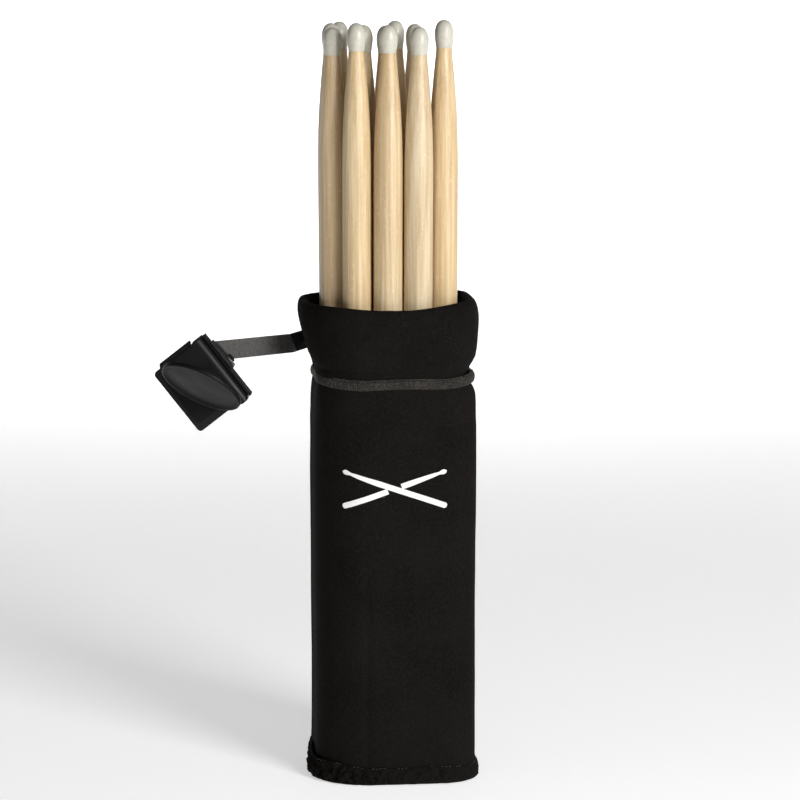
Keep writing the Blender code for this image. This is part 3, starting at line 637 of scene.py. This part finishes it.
def hem_point(index, angle, kind, lift=0.0):
    """Point on a hem's roll; angle 0 faces outwards and a quarter turn up."""
    point, normal = OUTLINE[index % AROUND]
    arc = index * AROUND_MM % AROUND_LENGTH
    half, height, thick, tall = hem_centre(arc, normal, kind)
    out = (thick + lift) * math.copysign(abs(math.cos(angle)) ** 0.8, math.cos(angle))
    up = (tall + lift) * math.copysign(abs(math.sin(angle)) ** 0.8, math.sin(angle))
    left = left_share(normal)
    if kind == "base":
        front = bell(point.y, -0.7, 0.9)
        high = math.sin(angle)
        gather = (0.6 + 1.3 * left * front) * swell(arc, 0.22, high, 2.0, 71.0)
        gather += (0.4 + 1.5 * left * front) * swell(arc, 0.42, high, 4.2, 75.0)
        gather += 0.3 * swell(arc, 0.95, high, 7.5, 77.0)
        bunched = max(0.0, min(1.0, (10.0 - point.x * HALF_WIDTH) / 30.0)) * bell(point.y, -0.8, 0.9)
        fold = 1.0 - 5.0 * abs(swell(arc, 0.30, high, 1.6, 81.0))
        finer = 1.0 - 4.0 * abs(swell(arc, 0.75, high, 3.5, 83.0))
        gather -= bunched * (1.8 * max(0.0, fold) + 0.8 * max(0.0, finer))
        facing = max(0.0, math.cos(angle))
        out += (gather - 0.8 * math.sin(angle)) * facing
        out += left * left * (2.3 * bell(point.y, -0.5, 0.5) - 1.8 * bell(point.y, 0.75, 0.4))
        pucker = bell(point.x * HALF_WIDTH, -16.0, 3.0) + bell(point.x * HALF_WIDTH, 26.0, 2.2)
        if normal.y < 0:
            out -= 0.7 * pucker * facing
    else:
        out += 0.12 * swell(arc, 0.3, angle, 0.5, 79.0)
    x = point.x * half + normal.x * out
    y = point.y * half + normal.y * out
    return Vector((x, y, max(height + up, 0.05))) * MM


def make_hem(name, kind, replaced):
    turns = 40
    rings = []
    for index in range(AROUND * 2):
        place = index // 2
        row = [hem_point(place, 2 * math.pi * step / turns, kind) for step in range(turns)]
        if index % 2:
            after = [hem_point(place + 1, 2 * math.pi * step / turns, kind) for step in range(turns)]
            row = [(first + second) / 2 for first, second in zip(row, after)]
        rings.append(row)
    mesh = grid(name, rings, wrap_rows=True)
    mesh.flip_normals()
    hem = object_from(name, mesh)
    return finish_piece(hem, YARN if kind == "cuff" else CLOTH, "bag", [replaced])


def thread_curve(name, paths, radius):
    """Thread stitches as one mesh of small tubes."""
    curve = bpy.data.curves.new(name, "CURVE")
    curve.dimensions = "3D"
    curve.bevel_depth = radius
    curve.bevel_resolution = 2
    curve.use_fill_caps = True
    for path in paths:
        spline = curve.splines.new("POLY")
        spline.points.add(len(path) - 1)
        for knot, place in zip(spline.points, path):
            knot.co = (*place, 1.0)
    drawn = object_from(name + "_curve", curve)
    bpy.context.view_layer.update()
    mesh = bpy.data.meshes.new_from_object(drawn.evaluated_get(bpy.context.evaluated_depsgraph_get()))
    bpy.data.objects.remove(drawn, do_unlink=True)
    mesh.name = name
    mesh.shade_smooth()
    return finish_piece(object_from(name, mesh), THREAD, "bag")


def overlock(name, kind, every, low, high, slant, radius, lift):
    """Short frayed threads lying across a hem, between angle low and angle high."""
    paths = []
    for index in range(0, AROUND * 4, every):
        start = index / 4
        normal = OUTLINE[int(start) % AROUND][1]
        loose = noise.noise(Vector((index * 0.37, 0.0, 3.0)))
        tangle = noise.noise(Vector((index * 0.71, 4.0, 8.0)))
        if normal.y > -0.4 or loose > 0.1:
            continue
        top = low + (high - low) * (0.35 + 0.6 * tangle)
        reach = (high - low) * (0.22 + 0.5 * abs(loose))
        path = []
        for step in range(9):
            part = step / 8
            angle = top + reach * part
            place = start + slant * part * (3.0 * loose + 2.0 * tangle)
            first = hem_point(int(place), angle, kind, lift)
            second = hem_point(int(place) + 1, angle, kind, lift)
            path.append(first.lerp(second, place - int(place)))
        paths.append(path)
    return thread_curve(name, paths, radius)


def running_stitch(name, kind, every, angle, share, radius, lift, sunk):
    """Short stitches lying along a hem at one angle, missing where the thread has sunk in."""
    paths = []
    for index in range(0, AROUND * 4, every):
        if noise.noise(Vector((index * 0.031, 9.0, 0.0))) < sunk:
            continue
        path = []
        turn = angle + 0.35 * noise.noise(Vector((index * 0.23, 5.0, 0.0)))
        for step in range(5):
            place = (index + every * share * step / 4) / 4
            first = hem_point(int(place), turn, kind, lift)
            second = hem_point(int(place) + 1, turn, kind, lift)
            path.append(first.lerp(second, place - int(place)))
        paths.append(path)
    return thread_curve(name, paths, radius)


def make_bottom():
    rings = []
    for z, half in ((0.9, 0.0), (0.75, 10.0), (0.6, 25.0), (0.35, 38.0), (0.3, 40.5), (0.9, 41.5),
                    (2.2, 41.6), (2.9, 40.5), (3.0, 0.0)):
        rings.append(bag_ring(max(half, 0.01), z, no_push))
    panel = object_from("bottom_panel", grid("bottom_panel", rings))
    panel.data.flip_normals()
    finish_piece(panel, CLOTH, "bag", ["base_panel"])
    low = 5.2
    rings = []
    for z, half in ((0.0, 0.01), (0.0, 36.5), (0.5, 38.0), (1.4, 38.2), (1.9, 37.0), (2.0, 30.0),
                    (2.0, 0.01)):
        rings.append(bag_ring(half, low + z * 0.85, no_push))
    pad = object_from("stick_pad", grid("stick_pad", rings))
    pad.data.flip_normals()
    finish_piece(pad, FOAM, "bag", ["foam_pad"])


def make_hoop():
    rings = []
    for z, half in ((227.2, 41.2), (237.0, 41.2), (237.0, 40.6), (227.2, 40.6)):
        rings.append(bag_ring(half, z, no_push))
    hoop = object_from("hoop_band", grid("hoop_band", rings, wrap_rows=True))
    finish_piece(hoop, STEEL, "bag", ["steel_hoop"])


def stick_shape(length):
    """Half widths along a drum stick drawn flat, as (distance from the butt, half width)."""
    return ((0.0, 0.0), (0.15, 0.9), (0.6, 1.35), (1.4, 1.5), (length * 0.66, 1.5),
            (length * 0.86, 1.05), (length * 0.925, 0.72), (length * 0.94, 0.95),
            (length * 0.965, 1.3), (length * 0.985, 1.05), (length, 0.0))


def make_print(sleeve):
    """Two crossed drum sticks printed on the front."""
    mesh = sleeve.data
    tree = BVHTree.FromPolygons([vert.co.copy() for vert in mesh.vertices],
                                [tuple(face.vertices) for face in mesh.polygons])
    centre = Vector((2.0, 160.0))
    length, lean = 58.0, math.radians(19.0)
    gap = 2.3 / math.sin(2 * lean)
    start_y, ink_lift = -0.2, 0.00008

    def strip(name, angle, start, stop):
        along = Vector((math.cos(angle), math.sin(angle)))
        across = Vector((-along.y, along.x))
        knots = stick_shape(length)
        rows = []
        count = max(2, round((stop - start) / 0.35))
        for step in range(count + 1):
            at = start + (stop - start) * step / count
            half = np.interp(at, [knot[0] for knot in knots], [knot[1] for knot in knots])
            row = []
            for side in range(9):
                offset = (side / 4 - 1.0) * half
                flat = centre + along * (at - length / 2) + across * offset
                hit = tree.ray_cast(Vector((flat.x * MM, start_y, flat.y * MM)), Vector((0, 1, 0)))
                row.append(hit[0] + hit[1] * ink_lift * (-1 if hit[1].y > 0 else 1))
            rows.append(row)
        decal = object_from(name, grid(name, rows, wrap_ring=False))
        return finish_piece(decal, INK, "bag")

    strip("print_stick_a", math.pi - lean, 0.0, length)
    strip("print_stick_b1", lean, 0.0, length / 2 - gap)
    strip("print_stick_b2", lean, length / 2 + gap, length)


# --- sticks -----------------------------------------------------------------------------------

def frame_along(direction, origin, hint=Vector((0, 1, 0))):
    z_axis = direction.normalized()
    x_axis = hint.cross(z_axis).normalized()
    y_axis = z_axis.cross(x_axis)
    turn = Matrix((x_axis, y_axis, z_axis)).transposed().to_4x4()
    return Matrix.Translation(origin) @ turn


def make_sticks():
    for number, (x, y, lean_x, lean_y, length) in enumerate(STICKS, 1):
        axis = Vector((lean_x / 100, lean_y / 100, 1.0))
        mouth = Vector((x, y, MOUTH)) * MM
        place = frame_along(axis, mouth - axis * (MOUTH - STICK_FOOT) * MM)
        top = length - TIP_LENGTH
        drops = ((0.0, 4.05), (3.5, 4.3), (8, 4.75), (16, 5.5), (25, 6.25), (34, 6.85), (45, 7.3),
                 (58, 7.55), (75, STICK_RADIUS))
        knots = [(radius, top - drop) for drop, radius in drops]
        profile = smooth_profile(knots, 2.5)
        profile = [(0.0, top + 0.6), (3.6, top + 0.6), (3.95, top + 0.3)] + profile
        profile += [(STICK_RADIUS, height) for height in (200.0, 60.0, 6.0)]
        profile += [(7.5, 4.2), (7.2, 2.6), (6.6, 1.3), (5.7, 0.5), (4.4, 0.1), (0.0, 0.0)]
        shaft = object_from(f"shaft_{number}", lathe(f"shaft_{number}", profile, 56), place)
        finish_piece(shaft, MAPLE, f"stick_{number}", [f"stick_{number}_shaft"])
        bulb = ((0.0, TIP_LENGTH), (1.3, 14.4), (2.6, 13.7), (3.75, 12.3), (4.5, 10.4), (4.85, 8.4),
                (4.9, 6.8), (4.75, 4.8), (4.45, 2.6), (4.2, 0.9), (4.1, 0.1), (3.9, -0.1), (3.4, -0.1))
        curve = smooth_profile(bulb, 0.5)
        profile = [(radius, length - TIP_LENGTH + height) for radius, height in curve]
        profile.append((0.0, length - TIP_LENGTH - 0.1))
        tip = object_from(f"tip_{number}", lathe(f"tip_{number}", profile, 48), place)
        finish_piece(tip, NYLON, f"stick_{number}", [f"stick_{number}_tip"])


# --- clip -------------------------------------------------------------------------------------

def disc_frame():
    facing = math.sin(DISC_TILT) * (math.cos(DISC_SPIN) * V + math.sin(DISC_SPIN) * U)
    facing -= math.cos(DISC_TILT) * N
    level = (math.cos(DISC_SPIN) * U - math.sin(DISC_SPIN) * V).normalized()
    return Matrix.Translation(CLIP @ DISC_CENTRE) @ Matrix(
        (level, facing.cross(level), facing)).transposed().to_4x4()


def make_disc():
    rim, deep = DISC_RADIUS, DISC_DEPTH
    knots = ((0.0, -0.55), (6.0, -0.66), (12.0, -0.98), (17.0, -1.38), (19.2, -1.42), (20.3, -0.8),
             (20.9, -0.15), (21.3, 0.0), (21.8, -0.08), (22.15, -0.4), (rim, -0.9), (rim, -1.8),
             (22.15, -deep + 0.4), (21.7, -deep + 0.05), (21.0, -deep), (10.0, -deep), (0.0, -deep))
    profile = smooth_profile(knots, 0.5)
    disc = object_from("pressed_disc", lathe("pressed_disc", profile, 128), disc_frame())
    return finish_piece(disc, DISC_COAT, "clip_front", ["thumb_disc"])


def clip_object(name, points, faces):
    """Mesh with points given in mm in the clip frame."""
    mesh = bpy.data.meshes.new(name)
    mesh.from_pydata([CLIP @ (Vector(point) * MM) for point in points], [], faces)
    mesh.shade_smooth()
    return object_from(name, mesh)


def soften(obj, width, segments=3, angle=40):
    step = obj.modifiers.new("soft_edges", "BEVEL")
    step.width = width * MM
    step.segments = segments
    step.limit_method = "ANGLE"
    step.angle_limit = math.radians(angle)
    step.harden_normals = True


def sheet_metal(obj, thick):
    solid = obj.modifiers.new("sheet", "SOLIDIFY")
    solid.thickness = thick * MM
    solid.offset = -1.0
    soften(obj, 0.22, 2, 50)


def make_front_jaw():
    """Pressed plate with a rolled hinge, rounded side bends and the tab behind the disc."""
    face, bend, bend_steps = -5.0, 1.5, 8
    left, right, start_v, reach_v, stop_v = -20.2, 19.8, 3.0, 23.4, 7.0
    section = [(left - 1.7, 7.0, reach_v), (left - 0.85, 1.8, reach_v)]
    for step in range(bend_steps + 1):
        angle = math.pi / 2 * step / bend_steps
        section.append((left + bend - bend * math.cos(angle), face + bend - bend * math.sin(angle), None))
    section += [(u, face, None) for u in np.linspace(left + bend + 1.5, right - bend - 1.5, 16)]
    for step in range(bend_steps + 1):
        angle = math.pi / 2 * step / bend_steps
        section.append((right - bend + bend * math.sin(angle), face + bend - bend * math.cos(angle), None))
    section.append((right, 8.7, stop_v))

    def mouth(u):
        return min(reach_v, 15.93 - 0.481 * (u - 2.357))

    rows = 14
    points, faces = [], []
    for row in range(rows + 1):
        for u, n, end in section:
            stop = end if end is not None else mouth(max(min(u, 18.3), left))
            if end is None and u > right - bend:
                stop = stop_v
            points.append((u, start_v + (stop - start_v) * row / rows, n))
    count = len(section)
    for row in range(rows):
        for col in range(count - 1):
            a = row * count + col
            faces.append((a, a + count, a + count + 1, a + 1))
    roll = [(v, face) for v in np.linspace(start_v + 0.05, -0.6, 7)]
    for step in range(1, 29):
        angle = math.radians(-90 - step * 10.5)
        roll.append((-0.6 + 3.55 * math.cos(angle), -1.43 + 3.55 * math.sin(angle)))
    columns = np.linspace(-20.1, 19.6, 22)
    first = len(points)
    points += [(u, v, n) for v, n in roll for u in columns]
    for row in range(len(roll) - 1):
        for col in range(len(columns) - 1):
            a = first + row * len(columns) + col
            faces.append((a, a + 1, a + len(columns) + 1, a + len(columns)))
    jaw = clip_object("pressed_jaw", points, faces)
    sheet_metal(jaw, 1.1)
    finish_piece(jaw, COAT, "clip_front", ["front_jaw"])
    rise = Vector((-0.2076, -0.4314, -0.878))
    low_left, low_right = Vector((-2.643, 18.335, -4.4)), Vector((11.357, 11.601, -4.4))
    tab_points = [low_left, low_right, low_right + rise * 16.0, low_left + rise * 16.0]
    tab = clip_object("disc_tab", [tuple(point) for point in tab_points], [(0, 1, 2, 3)])
    solid = tab.modifiers.new("sheet", "SOLIDIFY")
    solid.thickness = 1.2 * MM
    solid.offset = 0.0
    soften(tab, 0.3)
    finish_piece(tab, COAT, "clip_front")


def make_back_jaw():
    """Square plate with rounded corners, bent up into the end wall, and two ears for the pin."""
    left, right, reach, corner, bend = -19.6, 20.3, 29.8, 2.2, 1.6
    plate, wall = 9.6, -5.3
    path = []
    for step in range(9):
        angle = math.pi / 2 * step / 8
        inset = corner - corner * math.sin(angle)
        path.append((reach - corner + corner * math.cos(angle), plate, inset))
    path += [(v, plate, 0.0) for v in np.linspace(24.0, wall + bend + 1.0, 10)]
    for step in range(9):
        angle = math.pi / 2 * step / 8
        path.append((wall + bend - bend * math.sin(angle), plate - bend + bend * math.cos(angle), 0.0))
    path += [(wall, n, 0.0) for n in (4.0, 0.0, -2.2)]
    points, faces = [], []
    across = 14
    for v, n, inset in path:
        points += [(u, v, n) for u in np.linspace(left + inset, right - inset, across)]
    for row in range(len(path) - 1):
        for col in range(across - 1):
            a = row * across + col
            faces.append((a, a + 1, a + across + 1, a + across))
    for u in (left + 0.05, right - 0.05):
        start = len(points)
        points += [(u, -3.5, plate), (u, 2.3, plate)]
        for step in range(25):
            angle = -math.pi * step / 24
            points.append((u, -0.6 + 2.9 * math.cos(angle), -1.4 + 2.9 * math.sin(angle)))
        outline = tuple(range(start, len(points)))
        faces.append(outline)
    jaw = clip_object("bent_jaw", points, faces)
    solid = jaw.modifiers.new("sheet", "SOLIDIFY")
    solid.thickness = 1.15 * MM
    solid.offset = 0.0
    soften(jaw, 0.22, 2, 50)
    finish_piece(jaw, COAT, "clip", ["back_jaw"])


def dress(node, material, bevel=0.0, segments=3):
    """Give a CAD node its material and soften its edges."""
    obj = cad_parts[node]
    obj.data.materials.clear()
    obj.data.materials.append(material)
    if bevel:
        soften(obj, bevel, segments)
    return obj


# --- assembly ---------------------------------------------------------------------------------

sleeve_piece = make_sleeve()
make_cuff()
make_hem("cuff_roll", "cuff", "cuff_hem")
make_hem("base_roll", "base", "base_hem")
overlock("cuff_overlock", "cuff", 7, 1.5, -1.1, 1.6, 0.00013, 0.04)
running_stitch("cuff_chain", "cuff", 8, 1.35, 0.7, 0.00022, 0.1, -0.3)
running_stitch("base_chain", "base", 11, 1.2, 0.45, 0.00018, 0.0, 0.0)
make_bottom()
make_hoop()
make_print(sleeve_piece)
make_sticks()
make_disc()
make_front_jaw()
make_back_jaw()
dress("arm_strap", CRINKLE, 0.35)
dress("back_pad", RUBBER, 0.5)
dress("front_pad", RUBBER, 0.5)
dress("hinge_pin", COAT, 0.12, 2)
for name in ("swivel_rivet", "arm_rivet_1", "arm_rivet_2"):
    dress(name, COAT, 0.12, 2)
for name in ("torsion_spring", "swivel_washer"):
    dress(name, STEEL, 0.12, 2)
dress("liner_tube", LINER)
dress("base_board", LINER)


# --- studio -----------------------------------------------------------------------------------

def make_floor():
    profile = [(-4.0, 0.0), (1.2, 0.0)]
    for step in range(1, 25):
        angle = math.pi / 2 * step / 24
        profile.append((1.2 + 1.4 * math.sin(angle), 1.4 - 1.4 * math.cos(angle)))
    profile.append((2.6, 6.0))
    rows = [[(x, y, z - 0.0002) for x in (-6.0, 6.0)] for y, z in profile]
    floor = object_from("floor", grid("floor", rows, wrap_ring=False))
    floor.data.materials.append(floor_paint())


def area_light(name, place, target, size, power, spread=180.0):
    data = bpy.data.lights.new(name, "AREA")
    data.shape = "RECTANGLE"
    data.size, data.size_y = size
    data.energy = power
    data.spread = math.radians(spread)
    lamp = bpy.data.objects.new(name, data)
    bpy.context.scene.collection.objects.link(lamp)
    lamp.location = place
    lamp.rotation_euler = (Vector(target) - Vector(place)).to_track_quat("-Z", "Y").to_euler()


def make_studio():
    make_floor()
    scene = bpy.context.scene
    world = bpy.data.worlds.new("studio")
    world.use_nodes = True
    world.node_tree.nodes["Background"].inputs["Color"].default_value = (1.0, 1.0, 1.0, 1.0)
    world.node_tree.nodes["Background"].inputs["Strength"].default_value = 0.11
    scene.world = world
    area_light("key", (1.0, -1.3, 0.75), (0.0, 0.0, 0.22), (0.6, 0.8), 26.0)
    area_light("fill", (-0.4, -1.7, 0.8), (0.0, 0.0, 0.2), (0.8, 0.8), 1.2)
    area_light("sweep", (0.0, 0.7, 2.6), (0.0, 2.6, 0.8), (3.0, 1.2), 30.0, 90.0)
    scene.view_settings.view_transform = "Standard"
    camera_data = bpy.data.cameras.new("camera")
    camera_data.lens = 2896.0 * 36.0 / 800.0
    camera_data.sensor_width = 36.0
    camera_data.clip_start = 0.05
    camera_data.clip_end = 60.0
    camera = bpy.data.objects.new("camera", camera_data)
    scene.collection.objects.link(camera)
    camera.location = (0.0047, -1.540, 0.428)
    target = Vector((0.0047, 0.0, 0.201))
    camera.rotation_euler = (target - camera.location).to_track_quat("-Z", "Y").to_euler()
    scene.camera = camera


make_studio()
